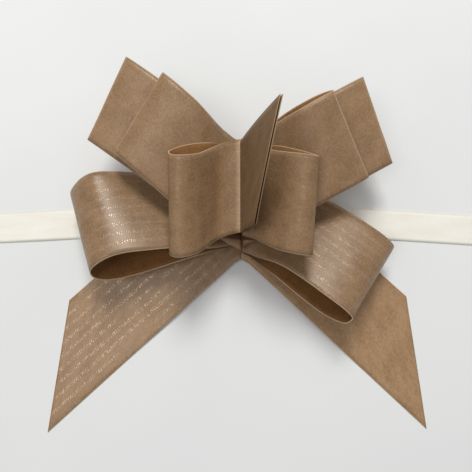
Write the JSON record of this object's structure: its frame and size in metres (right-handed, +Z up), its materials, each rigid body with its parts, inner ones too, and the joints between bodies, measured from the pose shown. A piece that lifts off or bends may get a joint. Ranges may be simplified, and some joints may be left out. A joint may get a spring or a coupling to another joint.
{
  "type": "pull bow",
  "caption": "Kraft gift bow of fanned ribbon loops stacked on a pull-ribbon hub, with slant-cut tails, upright end flaps and a cream carrier band behind.",
  "frame": {"origin": "on the resting plane, under the hub axis, on the underside of the pull tie", "axes": "+Z up through the hub towards the end flaps, +X to the right along the carrier band, +Y towards the upper loops"},
  "size_m": [0.184, 0.1249, 0.0607],
  "materials": {
    "kraft_ribbon": "satin kraft with fine fibres and faint pearly dashes",
    "pull_ribbon": "satin kraft",
    "cream_band": "smooth satin"
  },
  "bodies": {
    "hub": {"pull_tie": "pull_ribbon", "left_pull_ribbon": "pull_ribbon", "right_pull_ribbon": "pull_ribbon"},
    "band": {"carrier_band": "cream_band"},
    "tail_left": {"left_tail": "kraft_ribbon"},
    "tail_right": {"right_tail": "kraft_ribbon"},
    "large_left": {"left_large_loop": "kraft_ribbon"},
    "large_right": {"right_large_loop": "kraft_ribbon"},
    "rear_left": {"left_rear_loop": "kraft_ribbon"},
    "rear_right": {"right_rear_loop": "kraft_ribbon"},
    "front_left": {"left_front_loop": "kraft_ribbon"},
    "front_right": {"right_front_loop": "kraft_ribbon"},
    "centre_left": {"left_centre_loop": "kraft_ribbon"},
    "centre_right": {"right_centre_loop": "kraft_ribbon"},
    "end_flaps": {"left_end_flap": "kraft_ribbon", "right_end_flap": "kraft_ribbon"}
  },
  "joints": [
    {"name": "band_slide", "type": "slide", "parent": "hub", "child": "band", "axis": [1, 0, 0], "range_m": [-0.004, 0.004]},
    {"name": "tail_left_swivel", "type": "hinge", "parent": "hub", "child": "tail_left", "pos_m": [0, 0, 0.0017], "axis": [0, 0, 1], "range_deg": [-4, 4]},
    {"name": "tail_right_swivel", "type": "hinge", "parent": "hub", "child": "tail_right", "pos_m": [0, 0, 0.0025], "axis": [0, 0, 1], "range_deg": [-4, 4]},
    {"name": "large_left_swivel", "type": "hinge", "parent": "hub", "child": "large_left", "pos_m": [0, 0, 0.0051], "axis": [0, 0, 1], "range_deg": [-3, 3]},
    {"name": "large_right_swivel", "type": "hinge", "parent": "hub", "child": "large_right", "pos_m": [0, 0, 0.0059], "axis": [0, 0, 1], "range_deg": [-3, 3]},
    {"name": "rear_left_swivel", "type": "hinge", "parent": "hub", "child": "rear_left", "pos_m": [0, 0, 0.0094], "axis": [0, 0, 1], "range_deg": [-2, 2]},
    {"name": "rear_right_swivel", "type": "hinge", "parent": "hub", "child": "rear_right", "pos_m": [0, 0, 0.0102], "axis": [0, 0, 1], "range_deg": [-2, 2]},
    {"name": "front_left_swivel", "type": "hinge", "parent": "hub", "child": "front_left", "pos_m": [0, 0, 0.013], "axis": [0, 0, 1], "range_deg": [-2, 2]},
    {"name": "front_right_swivel", "type": "hinge", "parent": "hub", "child": "front_right", "pos_m": [0, 0, 0.0138], "axis": [0, 0, 1], "range_deg": [-2, 2]},
    {"name": "centre_left_swivel", "type": "hinge", "parent": "hub", "child": "centre_left", "pos_m": [0, 0, 0.0175], "axis": [0, 0, 1], "range_deg": [-3, 3]},
    {"name": "centre_right_swivel", "type": "hinge", "parent": "hub", "child": "centre_right", "pos_m": [0, 0, 0.0183], "axis": [0, 0, 1], "range_deg": [-3, 3]},
    {"name": "end_flap_fold", "type": "hinge", "parent": "hub", "child": "end_flaps", "pos_m": [0, 0, 0.0222], "axis": [0, 1, 0], "range_deg": [-20, 15]}
  ]
}
